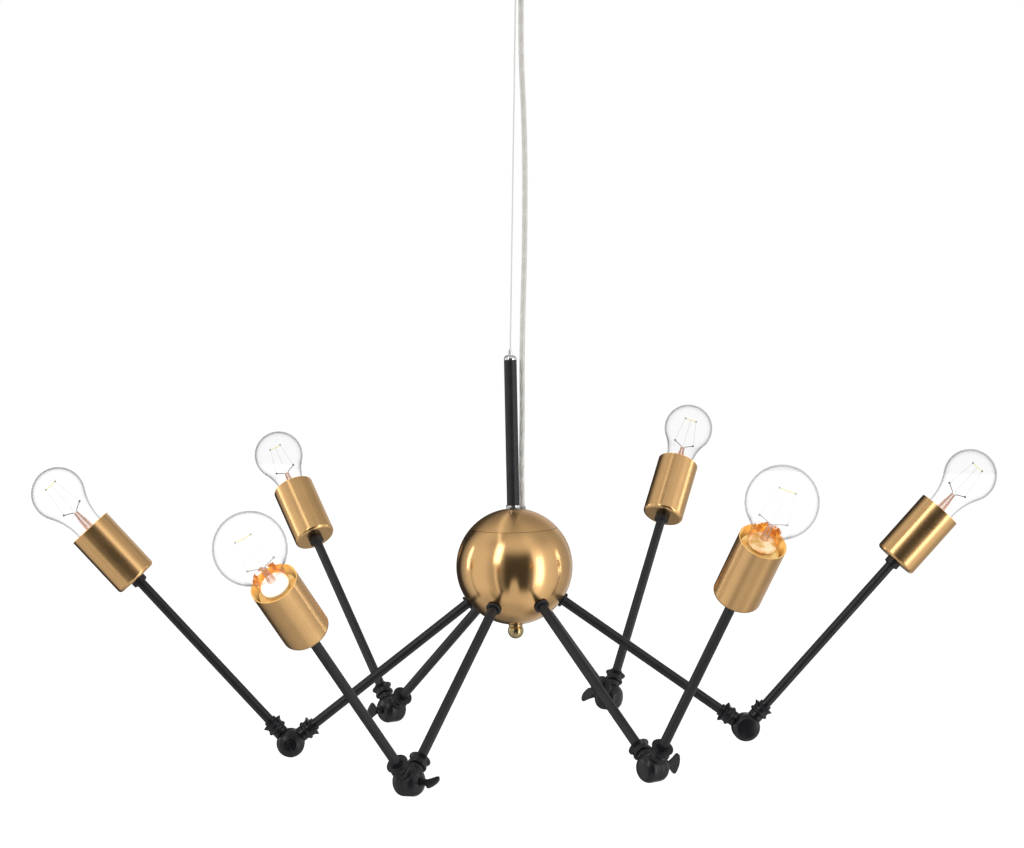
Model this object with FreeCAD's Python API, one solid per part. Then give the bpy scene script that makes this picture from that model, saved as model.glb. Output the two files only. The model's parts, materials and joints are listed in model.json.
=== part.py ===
import FreeCAD, Part
import math
import os

# Sputnik chandelier: six jointed arms on a brass ball, hung from a ceiling canopy by a thin wire.
# Millimetres. The origin is on the ceiling, at the middle of the canopy, with +Z up.
# The lamp itself is built about the middle of its ball, in the "lamp frame", with the stem along +Z.
# It hangs a little out of plumb, because its arms are set by hand.

V = FreeCAD.Vector
X = V(1, 0, 0)
Y = V(0, 1, 0)
Z = V(0, 0, 1)
CENTRE = V(0, 0, 0)

# ---- fits ----
seat = 0.2                     # between a piece and the seat it is fastened to
running = 0.06                 # radial play of the thumb screw in the knuckle
moving = 0.35                  # between pieces that turn past each other
thread_play = 0.05             # radial play of a plain-drawn thread in its nut

# ---- hanging ----
wire_drop = 362.0              # bare wire, from the gripper down to the tip of the stem
lean = 2.0                     # degrees that the lamp hangs out of plumb, its foot towards +X

# ---- ceiling fitting ----
screw_spacing = 70.0
screw_hole_radius = 2.5
strap_end = 13.0               # strap beyond each screw
strap_width = 20.0
strap_thickness = 2.0
strap_corner = 4.0
strap_nut_radius = 8.0
strap_nut_height = 5.0
canopy_side_gap = 12.0         # room between the strap's end and the canopy's rim
canopy_taper = 4.0             # the canopy's side leans in by this much
canopy_depth = 48.0
canopy_edge_round = 10.0
canopy_wall = 1.0
ceiling_gap = 0.3              # the canopy's rim stops just short of the ceiling
nipple_radius = 5.0
nipple_wall = 1.6
gripper_flange_radius = 7.5
gripper_flange_height = 3.0
gripper_barrel_radius = 5.5
gripper_length = 20.0
gripper_tip_radius = 2.4
gripper_tip_length = 6.0
wire_tail = 20.0               # wire above the canopy's floor, inside the nipple
gland_gap = 1.2                # between the gripper's flange and the gland's
gland_azimuth = 68.8
gland_flange_radius = 6.5
gland_flange_height = 2.5
gland_pipe_wall = 1.5
gland_cap_radius = 5.4
gland_cap_length = 9.0
gland_round = 2.0
gland_nut_height = 3.0
terminal_length = 14.0
terminal_width = 20.0
terminal_height = 12.0
terminal_gap = 5.0             # between the strap's nut and the terminal block
terminal_hole_radius = 1.6
terminal_hole_depth = 8.0

# ---- wire and cord ----
wire_radius = 0.75
ferrule_radius = 2.0
ferrule_length = 6.0
cord_radius = 2.75
cord_play = 0.15
cord_inside = 6.0              # length of cord inside the gland and inside the ball
# Points of the hanging cord's route between its two ends, chosen by hand: it hangs almost straight.
cord_points = [
    V(5.7, 14.0, -98.0),
    V(6.9, 13.5, -146.0),
    V(10.2, 13.0, -196.0),
    V(12.2, 12.3, -246.0),
    V(12.9, 11.3, -300.0),
    V(13.1, 10.8, -350.0),
    V(12.3, 10.1, -402.0),
    V(12.2, 9.4, -456.0),
    V(13.4, 8.7, -508.0),
    V(13.0, 7.8, -560.0),
]

# ---- stem ----
stem_radius = 6.5
stem_wall = 1.5
stem_length = 149.6
cap_flange = 1.0
cap_dome_height = 3.7
cap_plug_depth = 6.0
tip_base_radius = 2.1
tip_end_radius = 1.6
tip_length = 5.7
tip_play = 0.4                 # between the wire and the bore of the tip
ferrule_play = 0.3
ferrule_seat_depth = 3.0       # roof of the ferrule's pocket, below the foot of the tip
ring_radius = 7.4
ring_height = 1.6
lock_nut_radius = 7.3
lock_nut_height = 1.7
rod_radius = 3.0
rod_thread_above = 16.2        # the tie rod's thick thread, up into the stem
rod_thread_below = 12.0        # and down into the ball
rod_past_finial = 1.0          # the tie rod ends this far below the finial's middle

# ---- ball ----
ball_radius = 60.0
ball_wall = 1.0
seam_height = 40.0
seam_gap = 0.3
lip_wall = 0.8
lip_height = 4.5
lip_foot = 5.0
grommet_azimuth = 35.7
grommet_radius = 3.9
grommet_wall = 0.6
grommet_height = 1.6
grommet_length = 5.0
finial_radius = 8.1
finial_neck = 5.0              # from the finial's collar down to its middle
finial_collar_radius = 7.2
finial_collar_height = 1.8

# ---- arms ----
arm_reach = 294.0              # from the ball's middle to the knuckle
tube_radius = 5.0
tube_wall = 1.0
tube_tail = 5.2                # lower rod beyond the nut inside the ball
washer_radius = 7.9
washer_height = 2.4
washer_round = 0.8
inner_nut_radius = 8.0
inner_nut_height = 3.0

# ---- knuckle ----
knuckle_radius = 14.5
knuckle_half_gap = 0.2         # each half stops this far from the plane between them
knuckle_side = 4.0             # straight part of the side wall
knuckle_shoulder_radius = 10.5
knuckle_shoulder = 12.4
knuckle_bulge = 1.25           # of the rounded shoulder, beyond its chord
knuckle_rim = 0.4
knuckle_crown = 14.0
knuckle_wall = 3.2
knuckle_post_radius = 5.0
knuckle_wire_radius = 2.8
screw_seat_radius = 6.5
neck_radius = 7.75
neck_length = 3.9
collar_bulge_radius = 10.0
collar_bulge_length = 4.0
groove_radius = 8.6
groove_length = 2.6
flange_radius = 11.0
flange_flare = 3.3
flange_rim = 0.3
flange_height = 1.3
boss_radius = 6.6
boss_height = 2.8
socket_depth = 8.2

# ---- thumb screw ----
shank_radius = 2.5
shank_tip = 10.6               # beyond the plane between the halves
shoulder_radius = 4.2
shoulder_height = 1.4
shoulder_edge = 0.4
screw_neck_radius = 2.9
screw_neck_length = 1.85
paddle_root_half = 2.9
paddle_root_height = 2.4
paddle_root_flare = 1.7
paddle_half_width = 10.8
paddle_taper = 0.9             # the paddle is this much narrower where its edge starts to round
paddle_edge = 4.6              # height of that start below the paddle's corner
paddle_height = 12.0           # to the top of the paddle's corner
paddle_corner = 2.2
paddle_crown = 1.6             # rise of the paddle's top edge in its middle
paddle_thickness = 2.6

# ---- cup, lampholder and bulb ----
cup_reach = 232.0              # from the knuckle to the cup's foot
cup_radius = 23.0
cup_wall = 0.9
cup_length = 71.0
cup_foot_round = 3.5
shoulder_nut_radius = 8.0
shoulder_nut_length = 5.5
shoulder_nut_chamfer = 1.5
rod_thread_length = 12.0
holder_radius = 18.6
holder_foot_radius = 13.0
holder_foot_height = 9.0
holder_floor = 37.5
holder_chamfer = 1.0
contact_radius = 3.5
contact_height = 2.0
base_radius = 13.1
base_wall = 0.6
base_length = 25.5
base_showing = 3.35            # part of the bulb's base that stands out of the holder
base_tip_radius = 4.6
base_tip_height = 1.5
base_cone_height = 3.5
base_solid = 8.0
glass_wall = 0.9
glass_neck_step = 1.9          # the glass neck is this much wider than the base, in radius
glass_neck_rise = 1.2
glass_neck_length = 5.45       # straight neck, before the glass flares into the globe
globe_radius = 27.5            # four bulbs
globe_rise = 77.2              # from the bulb's foot to the middle of its globe
big_globe_radius = 33.8        # the two bulbs in front
big_globe_rise = 79.0

# ---- the six arms, anticlockwise from above, starting at +X ----
# azimuth: direction of the arm; slope: its lower rod below level; roll: turn about the lower rod;
# opening: angle between its two rods at rest; paddle: turn of its thumb screw; big: larger bulb.
arms = [
    {"azimuth": 2.6, "slope": 36.3, "roll": -1.4, "opening": 96.8, "paddle": 60.0, "big": False},
    {"azimuth": 64.6, "slope": 36.5, "roll": 2.6, "opening": 90.0, "paddle": 115.5, "big": False},
    {"azimuth": 126.4, "slope": 37.5, "roll": 0.9, "opening": 93.2, "paddle": 27.5, "big": False},
    {"azimuth": 182.6, "slope": 37.0, "roll": 0.7, "opening": 94.2, "paddle": 67.6, "big": False},
    {"azimuth": 242.8, "slope": 37.9, "roll": 3.4, "opening": 95.7, "paddle": 157.1, "big": True},
    {"azimuth": 303.2, "slope": 36.1, "roll": 1.5, "opening": 92.2, "paddle": 73.4, "big": True},
]

# ---- sizes that follow from the ones above ----
strap_length = screw_spacing + 2 * strap_end
canopy_radius = strap_length / 2 + canopy_side_gap
canopy_floor_radius = canopy_radius - canopy_taper - canopy_edge_round
terminal_offset = strap_nut_radius + terminal_gap + terminal_length / 2
gland_reach = gripper_flange_radius + gland_gap + gland_flange_radius
gland_x = gland_reach * math.cos(math.radians(gland_azimuth))
gland_y = gland_reach * math.sin(math.radians(gland_azimuth))
gland_foot = -canopy_depth - seat - gland_flange_height - gland_cap_length
gland_bore_radius = cord_radius + cord_play
gland_pipe_radius = gland_bore_radius + gland_pipe_wall
gripper_foot = -canopy_depth - seat - gripper_flange_height - gripper_length - gripper_tip_length

ball_top = ball_radius + seat / 2
stem_foot = ball_top + lock_nut_height + seat + ring_height + seat
rod_thread_radius = stem_radius - stem_wall - thread_play
cap_foot = stem_foot + stem_length
tip_foot = cap_foot + cap_flange + cap_dome_height
tip_top = tip_foot + tip_length
pivot_height = tip_foot - ferrule_seat_depth
pivot = V(0, 0, gripper_foot - wire_drop - (tip_top - pivot_height))
lamp = FreeCAD.Placement(pivot, FreeCAD.Rotation(Y, -lean)).multiply(
    FreeCAD.Placement(V(0, 0, -pivot_height), FreeCAD.Rotation()))

grommet_reach = max(lock_nut_radius, ring_radius) + seat + grommet_radius
grommet_x = grommet_reach * math.cos(math.radians(grommet_azimuth))
grommet_y = grommet_reach * math.sin(math.radians(grommet_azimuth))
grommet_pipe_radius = cord_radius + cord_play + grommet_wall
finial_middle = -ball_top - finial_collar_height - finial_neck

tube_bore_radius = tube_radius - tube_wall
socket_radius = tube_radius + thread_play
inner_nut_seat = math.sqrt((ball_radius - ball_wall) ** 2 - inner_nut_radius ** 2) - seat
tube_start = inner_nut_seat - inner_nut_height - tube_tail

knuckle_cavity_radius = knuckle_radius - knuckle_wall
knuckle_cavity_depth = knuckle_shoulder - knuckle_wall
neck_end = knuckle_radius + neck_length
collar_bulge_end = neck_end + collar_bulge_length
groove_end = collar_bulge_end + groove_length
flange_edge = groove_end + flange_flare
flange_end = flange_edge + flange_height
boss_end = flange_end + boss_height
socket_floor = boss_end - socket_depth
shoulder_foot = knuckle_crown + moving
shoulder_top = shoulder_foot + shoulder_height

cup_foot = cup_reach
cup_floor = cup_foot + cup_wall
holder_foot = cup_floor + seat
holder_bore_radius = base_radius + moving
bulb_foot = holder_foot + holder_floor + contact_height + moving
base_end = bulb_foot + base_length
base_floor = bulb_foot + base_tip_height + base_cone_height + base_solid
holder_mouth = base_end - base_showing
glass_neck_radius = base_radius + glass_neck_step
rod_end = holder_foot + rod_thread_length


def face(start, *steps):
    """A face in the XZ plane. A step is a point (x, z), or two points for an arc through the first."""
    edges = []
    here = V(start[0], 0, start[1])
    first = here
    for step in list(steps) + [start]:
        if isinstance(step[0], tuple):
            middle = V(step[0][0], 0, step[0][1])
            end = V(step[1][0], 0, step[1][1])
            edges.append(Part.Arc(here, middle, end).toShape())
        else:
            end = V(step[0], 0, step[1])
            if end.distanceToPoint(here) < 1e-7:
                continue
            edges.append(Part.LineSegment(here, end).toShape())
        here = end
    if here.distanceToPoint(first) > 1e-7:
        raise ValueError("open outline")
    return Part.Face(Part.Wire(edges))


def turned(start, *steps):
    """A solid of revolution about Z, from its outline in (radius, height)."""
    solid = face(start, *steps).revolve(CENTRE, Z, 360)
    return solid if solid.ShapeType == "Solid" else Part.Solid(solid)


def tube(outer, inner, low, high):
    return turned((inner, low), (outer, low), (outer, high), (inner, high))


def rod(radius, low, high):
    return Part.makeCylinder(radius, high - low, V(0, 0, low))


def hexagon(corner_radius, low, high):
    corners = [V(corner_radius * math.cos(math.radians(60 * k)),
                 corner_radius * math.sin(math.radians(60 * k)), low) for k in range(6)]
    return Part.Face(Part.makePolygon(corners + corners[:1])).extrude(V(0, 0, high - low))


def placed(shape, placement):
    result = shape.copy()
    result.Placement = placement.multiply(result.Placement)
    return result


def turn(axis, degrees):
    return FreeCAD.Placement(CENTRE, FreeCAD.Rotation(axis, degrees))


def shift(x, y, z):
    return FreeCAD.Placement(V(x, y, z), FreeCAD.Rotation())


# Turns a piece built along Z so that it lies along X.
ALONG_X = turn(Y, 90)


def polar(radius, height):
    """Point at this height on a circle about the origin, in the plane of a turned outline."""
    return (math.sqrt(radius ** 2 - height ** 2), height)


def arc_to(radius, low, high):
    """Arc step of an outline, on a circle about the origin, from height low to height high."""
    start = math.asin(low / radius)
    end = math.asin(high / radius)
    middle = (start + end) / 2
    return ((radius * math.cos(middle), radius * math.sin(middle)), polar(radius, high))


def crown_arc(radius, low, high):
    """Arc step of an outline, from (radius, low) up to the axis, level where it meets it."""
    sphere = (radius ** 2 + (high - low) ** 2) / (2 * (high - low))
    half = radius / 2
    return ((half, high - sphere + math.sqrt(sphere ** 2 - half ** 2)), (0, high))


def bulged(start, end, bulge):
    """Arc step of an outline, from start to end, that stands out from its chord by the bulge."""
    across = end[0] - start[0]
    along = end[1] - start[1]
    share = bulge / math.hypot(across, along)
    middle = ((start[0] + end[0]) / 2 + share * along, (start[1] + end[1]) / 2 - share * across)
    return (middle, end)


# ---------------------------------------------------------------- ceiling fitting

def canopy_bracket():
    strap = Part.makeBox(strap_length, strap_width, strap_thickness,
                         V(-strap_length / 2, -strap_width / 2, -strap_thickness))
    upright = [edge for edge in strap.Edges if abs(edge.tangentAt(edge.FirstParameter).z) > 0.9]
    strap = strap.makeFillet(strap_corner, upright)
    nut = hexagon(strap_nut_radius, -strap_thickness - strap_nut_height, -strap_thickness)
    body = strap.fuse(nut).removeSplitter()
    body = body.cut(rod(nipple_radius + thread_play, -strap_thickness - strap_nut_height, 0))
    for side in (-1, 1):
        hole = rod(screw_hole_radius, -strap_thickness, 0)
        body = body.cut(placed(hole, shift(side * screw_spacing / 2, 0, 0)))
    return body


def ceiling_canopy():
    rim = canopy_radius
    floor = canopy_floor_radius
    round_in = canopy_edge_round - canopy_wall
    depth = canopy_depth
    wall = canopy_wall
    side = floor + canopy_edge_round
    bend = math.sqrt(0.5)
    shell = turned(
        (0, -depth), (floor, -depth),
        ((floor + canopy_edge_round * bend, -depth + canopy_edge_round * (1 - bend)),
         (side, -depth + canopy_edge_round)),
        (rim, -ceiling_gap), (rim - wall, -ceiling_gap),
        (side - wall, -depth + canopy_edge_round),
        ((floor + round_in * bend, -depth + canopy_edge_round - round_in * bend),
         (floor, -depth + wall)),
        (0, -depth + wall))
    shell = shell.cut(rod(nipple_radius + seat, -depth, -depth + wall))
    gland_hole = rod(gland_pipe_radius + seat, -depth, -depth + wall)
    return shell.cut(placed(gland_hole, shift(gland_x, gland_y, 0)))


def canopy_nipple():
    foot = -canopy_depth - seat - gripper_flange_height
    return tube(nipple_radius, nipple_radius - nipple_wall, foot, -ceiling_gap)


def terminal_block():
    top = -strap_thickness - seat
    block = Part.makeBox(terminal_length, terminal_width, terminal_height,
                         V(terminal_offset - terminal_length / 2, -terminal_width / 2, top - terminal_height))
    for k in (-1, 0, 1):
        well = rod(terminal_hole_radius, top - terminal_height, top - terminal_height + terminal_hole_depth)
        block = block.cut(placed(well, shift(terminal_offset, k * terminal_width / 3, 0)))
    return block


def wire_gripper():
    top = -canopy_depth - seat
    flange = top - gripper_flange_height
    barrel = flange - gripper_length
    foot = barrel - gripper_tip_length
    bore = wire_radius + cord_play
    nipple = nipple_radius + thread_play
    return turned((nipple, top), (gripper_flange_radius, top), (gripper_flange_radius, flange),
                  (gripper_barrel_radius, flange), (gripper_barrel_radius, barrel),
                  (gripper_tip_radius, foot), (bore, foot), (bore, flange - seat), (nipple, flange - seat))


def cord_gland():
    """The gland in the canopy, with its nut inside, and the grommet in the ball: two solids."""
    top = -canopy_depth - seat
    flange = top - gland_flange_height
    foot = gland_foot
    bore = gland_bore_radius
    pipe = gland_pipe_radius
    bend = gland_round * (1 - math.sqrt(0.5))
    inside = -canopy_depth + canopy_wall + seat
    body = turned((bore, foot), (gland_cap_radius - gland_round, foot),
                  ((gland_cap_radius - bend, foot + bend), (gland_cap_radius, foot + gland_round)),
                  (gland_cap_radius, flange), (gland_flange_radius, flange), (gland_flange_radius, top),
                  (pipe, top), (pipe, inside), (gland_flange_radius, inside),
                  (gland_flange_radius, inside + gland_nut_height), (bore, inside + gland_nut_height))
    gland = placed(body, shift(gland_x, gland_y, 0))
    return Part.makeCompound([gland, placed(grommet(), lamp)])


# ---------------------------------------------------------------- wire and cord

def grommet_place():
    """Where the grommet's axis, parallel to the stem, meets the ball."""
    rise = math.sqrt(ball_radius ** 2 - grommet_x ** 2 - grommet_y ** 2)
    return shift(grommet_x, grommet_y, rise)


def grommet():
    bore = cord_radius + cord_play
    barrel = grommet_pipe_radius
    foot = -grommet_length
    slope_clear = grommet_radius * grommet_reach / ball_radius
    low = seat + slope_clear
    body = turned((bore, foot), (barrel, foot), (barrel, low), (grommet_radius, low),
                  (grommet_radius, low + grommet_height / 2),
                  (barrel, low + grommet_height), (bore, low + grommet_height))
    return placed(body, grommet_place())


def suspension_wire():
    """The taut wire and the ferrule crimped on its lower end."""
    foot = pivot.z - seat
    wire = rod(wire_radius, foot - ferrule_length, -canopy_depth + wire_tail)
    ferrule = rod(ferrule_radius, foot - ferrule_length, foot)
    return wire.fuse(ferrule).removeSplitter()


def cord_route():
    """Every point of the cord's route, from inside the canopy's gland to inside the ball."""
    top = V(gland_x, gland_y, gland_foot + cord_inside)
    place = lamp.multiply(grommet_place())
    end = place.multVec(V(0, 0, -cord_inside))
    return [top] + cord_points + [end]


def power_cord():
    """Straight runs joined by tangent arcs, each as large as its two runs allow."""
    route = cord_route()
    edges = []
    radii = []
    here = route[0]
    length = 0.0
    for before, corner, after in zip(route, route[1:], route[2:]):
        back = before.sub(corner)
        ahead = after.sub(corner)
        half_turn = (math.pi - back.getAngle(ahead)) / 2
        set_back = 0.45 * min(back.Length, ahead.Length)
        radius = set_back / math.tan(half_turn)
        radii.append(radius)
        back.normalize()
        ahead.normalize()
        start = corner.add(back.multiply(set_back))
        finish = corner.add(ahead.multiply(set_back))
        inward = start.add(finish).multiply(0.5).sub(corner)
        inward.normalize()
        middle = corner.add(inward.multiply(radius / math.cos(half_turn) - radius))
        edges.append(Part.LineSegment(here, start).toShape())
        edges.append(Part.Arc(start, middle, finish).toShape())
        length += here.distanceToPoint(start) + 2 * half_turn * radius
        here = finish
    edges.append(Part.LineSegment(here, route[-1]).toShape())
    length += here.distanceToPoint(route[-1])
    heading = route[1].sub(route[0])
    ring = Part.Wire(Part.makeCircle(cord_radius, route[0], heading))
    solid = Part.Wire(edges).makePipeShell([ring], True, False)
    print("cord length %.1f, arc radii" % length, [round(radius) for radius in radii])
    print("cord volume ratio %.5f" % (solid.Volume / (math.pi * cord_radius ** 2 * length)))
    return solid


# ---------------------------------------------------------------- stem

def stem_cap():
    plug = stem_radius - stem_wall - seat
    pocket = ferrule_radius + ferrule_play
    bore = wire_radius + tip_play
    shoulder = cap_foot + seat + cap_flange
    bend = math.sqrt(0.5)
    dome_mid = (tip_base_radius + (stem_radius - tip_base_radius) * bend,
                shoulder + (tip_foot - shoulder) * bend)
    return turned((pocket, cap_foot - cap_plug_depth), (plug, cap_foot - cap_plug_depth),
                  (plug, cap_foot + seat), (stem_radius, cap_foot + seat), (stem_radius, shoulder),
                  (dome_mid, (tip_base_radius, tip_foot)),
                  (tip_end_radius, tip_top), (bore, tip_top), (bore, pivot_height), (pocket, pivot_height))


def stem_tube():
    return tube(stem_radius, stem_radius - stem_wall, stem_foot, cap_foot)


def stem_fixings():
    """The chrome ring under the stem and the nut that locks it on the ball."""
    bore = rod_thread_radius + thread_play
    ring_top = stem_foot - seat
    ring_foot = ring_top - ring_height
    nut_top = ring_foot - seat
    nut_foot = ball_top
    ring = tube(ring_radius, bore, ring_foot, ring_top)
    nut = hexagon(lock_nut_radius, nut_foot, nut_top).cut(rod(bore, nut_foot, nut_top))
    return Part.makeCompound([ring, nut])


def tie_rod():
    foot = finial_middle - rod_past_finial
    thread_foot = ball_radius - rod_thread_below
    thread_top = stem_foot + rod_thread_above
    return turned((0, foot), (rod_radius, foot), (rod_radius, thread_foot),
                  (rod_thread_radius, thread_foot), (rod_thread_radius, thread_top), (0, thread_top))


# ---------------------------------------------------------------- ball

def sphere_cap():
    inner = ball_radius - ball_wall
    seam = seam_height + seam_gap / 2
    hole = rod_thread_radius + thread_play + seat
    crown = math.sqrt(ball_radius ** 2 - hole ** 2)
    crown_inner = math.sqrt(inner ** 2 - hole ** 2)
    inside = arc_to(inner, crown_inner, seam)
    shell = turned(polar(ball_radius, seam), arc_to(ball_radius, seam, crown), (hole, crown_inner), inside)
    cord_hole = rod(grommet_pipe_radius + seat, -2 * grommet_length, grommet_length)
    return shell.cut(placed(cord_hole, grommet_place()))


def sphere_bowl():
    inner = ball_radius - ball_wall
    lip_outer = inner - seat
    lip_inner = lip_outer - lip_wall
    seam = seam_height - seam_gap / 2
    lip_top = seam + lip_height
    lip_low = seam - lip_foot
    hole = rod_radius + seat
    bottom = -math.sqrt(ball_radius ** 2 - hole ** 2)
    bottom_inner = -math.sqrt(inner ** 2 - hole ** 2)
    shell = turned((hole, bottom), arc_to(ball_radius, bottom, seam), polar(lip_outer, seam),
                   arc_to(lip_outer, seam, lip_top), polar(lip_inner, lip_top),
                   arc_to(lip_inner, lip_top, lip_low), polar(inner, lip_low),
                   arc_to(inner, lip_low, bottom_inner))
    for arm in arms:
        hole = placed(rod(tube_radius + seat, tube_start, ball_radius + washer_height), ALONG_X)
        shell = shell.cut(placed(hole, arm_place(arm)))
    return shell


def finial():
    top = -ball_top
    collar = top - finial_collar_height
    bore = rod_radius + thread_play
    bore_end = finial_middle - rod_past_finial - seat
    neck = math.sqrt(finial_radius ** 2 - finial_neck ** 2)
    return turned((bore, top), (finial_collar_radius, top), (finial_collar_radius, collar), (neck, collar),
                  ((finial_radius, finial_middle), (0, finial_middle - finial_radius)),
                  (0, bore_end), (bore, bore_end))


# ---------------------------------------------------------------- arms

def arm_place(arm):
    """Frame of one arm in the lamp: X out along its lower rod, Y along its knuckle's hinge."""
    return turn(Z, arm["azimuth"]).multiply(turn(Y, arm["slope"])).multiply(turn(X, arm["roll"]))


def knuckle_place(arm):
    return arm_place(arm).multiply(shift(arm_reach, 0, 0))


def upper_place(arm):
    """Frame of the upper rod: origin in the knuckle, X along the rod, Y along the hinge."""
    return knuckle_place(arm).multiply(turn(Y, arm["opening"] - 180))


def each_arm(build, place):
    return Part.makeCompound([placed(build(), lamp.multiply(place(arm))) for arm in arms])


def lower_rod():
    return placed(tube(tube_radius, tube_bore_radius, tube_start, arm_reach - socket_floor - seat), ALONG_X)


def washer_and_nut():
    """The black washer outside the ball and the nut inside it, as two solids."""
    foot = ball_top
    top = foot + washer_height
    bore = tube_radius + thread_play
    bend = washer_round * (1 - math.sqrt(0.5))
    washer = turned((bore, foot), (washer_radius, foot), (washer_radius, top - washer_round),
                    ((washer_radius - bend, top - bend), (washer_radius - washer_round, top)), (bore, top))
    nut_low = inner_nut_seat - inner_nut_height
    nut = hexagon(inner_nut_radius, nut_low, inner_nut_seat).cut(rod(bore, nut_low, inner_nut_seat))
    return [placed(washer, ALONG_X), placed(nut, ALONG_X)]


def arm_lock_nuts():
    solids = []
    for arm in arms:
        solids += [placed(piece, lamp.multiply(arm_place(arm))) for piece in washer_and_nut()]
    return Part.makeCompound(solids)


def knuckle_collar():
    """The turned collar of a knuckle half, along Z from the knuckle's middle, with its socket."""
    bulge = (neck_end + collar_bulge_end) / 2
    return turned((0, 0), (neck_radius, 0), (neck_radius, neck_end),
                  ((collar_bulge_radius, bulge), (groove_radius, collar_bulge_end)),
                  (groove_radius, groove_end), (flange_radius, flange_edge),
                  (flange_radius, flange_edge + flange_rim),
                  (boss_radius, flange_end), (boss_radius, boss_end), (0, boss_end))


def knuckle_half(screw_side):
    """One half: its rod lies along X, its dome on +Y, open towards the plane between the halves."""
    gap = knuckle_half_gap
    hole = shank_radius + running
    if screw_side:
        crown = [(screw_seat_radius, knuckle_crown), (0, knuckle_crown)]
    else:
        rim = (knuckle_shoulder_radius - knuckle_rim, knuckle_shoulder + knuckle_rim)
        crown = [rim, crown_arc(*rim, knuckle_crown)]
    side = (knuckle_radius, knuckle_side)
    shoulder = bulged(side, (knuckle_shoulder_radius, knuckle_shoulder), knuckle_bulge)
    dome = turned((0, gap), (knuckle_radius, gap), side, shoulder, *crown)
    dome = placed(dome, turn(X, -90))
    collar = placed(knuckle_collar(), ALONG_X)
    relief = rod(knuckle_radius + moving, -knuckle_radius, gap)
    collar = collar.cut(placed(relief, turn(X, -90)))
    body = dome.fuse(collar)
    cavity = tube(knuckle_cavity_radius, knuckle_post_radius, gap, knuckle_cavity_depth)
    body = body.cut(placed(cavity, turn(X, -90)))
    depth = (gap, knuckle_crown) if screw_side else (gap, shank_tip + moving)
    body = body.cut(placed(rod(hole, *depth), turn(X, -90)))
    body = body.cut(placed(rod(socket_radius, socket_floor, boss_end), ALONG_X))
    wire_start = (knuckle_post_radius + knuckle_cavity_radius) / 2
    body = body.cut(placed(rod(knuckle_wire_radius, wire_start, socket_floor), ALONG_X))
    return body.removeSplitter()


def knuckle_inner():
    return placed(knuckle_half(True), turn(Y, 180))


def knuckle_outer():
    return placed(knuckle_half(False), turn(X, 180))


def thumb_screw(arm):
    """Shank, shoulder and flat paddle, along +Y of the knuckle's frame."""
    start = shoulder_top + screw_neck_length
    root_top = start + paddle_root_height
    corner = start + paddle_height
    stalk = turned((0, -shank_tip), (shank_radius, -shank_tip), (shank_radius, shoulder_foot),
                   (shoulder_radius, shoulder_foot), (shoulder_radius, shoulder_top - shoulder_edge),
                   (shoulder_radius - shoulder_edge, shoulder_top), (screw_neck_radius, shoulder_top),
                   (screw_neck_radius, root_top), (0, root_top))
    half = paddle_half_width
    root = paddle_root_half
    flared = root + paddle_root_flare
    flank = (half - paddle_taper, corner - paddle_edge)
    wing = face((-root, start), (root, start), ((flared, root_top), flank),
                ((half, corner - paddle_corner), (half - paddle_corner, corner)),
                ((0, corner + paddle_crown), (-half + paddle_corner, corner)),
                ((-half, corner - paddle_corner), (-flank[0], flank[1])),
                ((-flared, root_top), (-root, start)))
    wing = wing.extrude(V(0, paddle_thickness, 0))
    wing.translate(V(0, -paddle_thickness / 2, 0))
    screw = stalk.fuse(wing).removeSplitter()
    return placed(placed(screw, turn(X, -90)), turn(Y, arm["paddle"]))


def upper_rod():
    """Tube with the turned shoulder that the cup sits on, and the thread that holds the lampholder."""
    start = socket_floor + seat
    nut_top = cup_foot - seat
    nut_foot = nut_top - shoulder_nut_length
    body = turned((tube_bore_radius, start), (tube_radius, start),
                  (tube_radius, nut_foot - shoulder_nut_chamfer), (shoulder_nut_radius, nut_foot),
                  (shoulder_nut_radius, nut_top), (tube_radius, nut_top),
                  (tube_radius, rod_end), (tube_bore_radius, rod_end))
    return placed(body, ALONG_X)


def socket_cup():
    mouth = cup_foot + cup_length
    inner = cup_radius - cup_wall
    round_in = cup_foot_round - cup_wall
    bend = 1 - math.sqrt(0.5)
    hole = tube_radius + seat
    body = turned((hole, cup_foot), (cup_radius - cup_foot_round, cup_foot),
                  ((cup_radius - cup_foot_round * bend, cup_foot + cup_foot_round * bend),
                   (cup_radius, cup_foot + cup_foot_round)),
                  (cup_radius, mouth), (inner, mouth), (inner, cup_foot + cup_foot_round),
                  ((inner - round_in * bend, cup_floor + round_in * bend), (inner - round_in, cup_floor)),
                  (hole, cup_floor))
    return placed(body, ALONG_X)


def lampholder():
    """Insulating holder: threaded foot, open socket, and the contact on the socket's floor."""
    foot = holder_foot
    floor = holder_foot + holder_floor
    neck = holder_foot + holder_foot_height
    entry_end = rod_end + seat
    body = turned((socket_radius, foot), (holder_foot_radius, foot), (holder_radius, neck),
                  (holder_radius, holder_mouth - holder_chamfer),
                  (holder_radius - holder_chamfer, holder_mouth),
                  (holder_bore_radius, holder_mouth), (holder_bore_radius, floor),
                  (contact_radius, floor), (contact_radius, floor + contact_height),
                  (0, floor + contact_height), (0, entry_end), (socket_radius, entry_end))
    return placed(body, ALONG_X)


def bulb_base():
    """Screw shell of the bulb, with its insulator and its contact."""
    foot = bulb_foot
    tip = foot + base_tip_height
    cone = tip + base_cone_height
    inner = base_radius - base_wall
    body = turned((0, foot), (base_tip_radius, foot), (base_tip_radius, tip), (base_radius, cone),
                  (base_radius, base_end), (inner, base_end), (inner, base_floor), (0, base_floor))
    return placed(body, ALONG_X)


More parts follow.
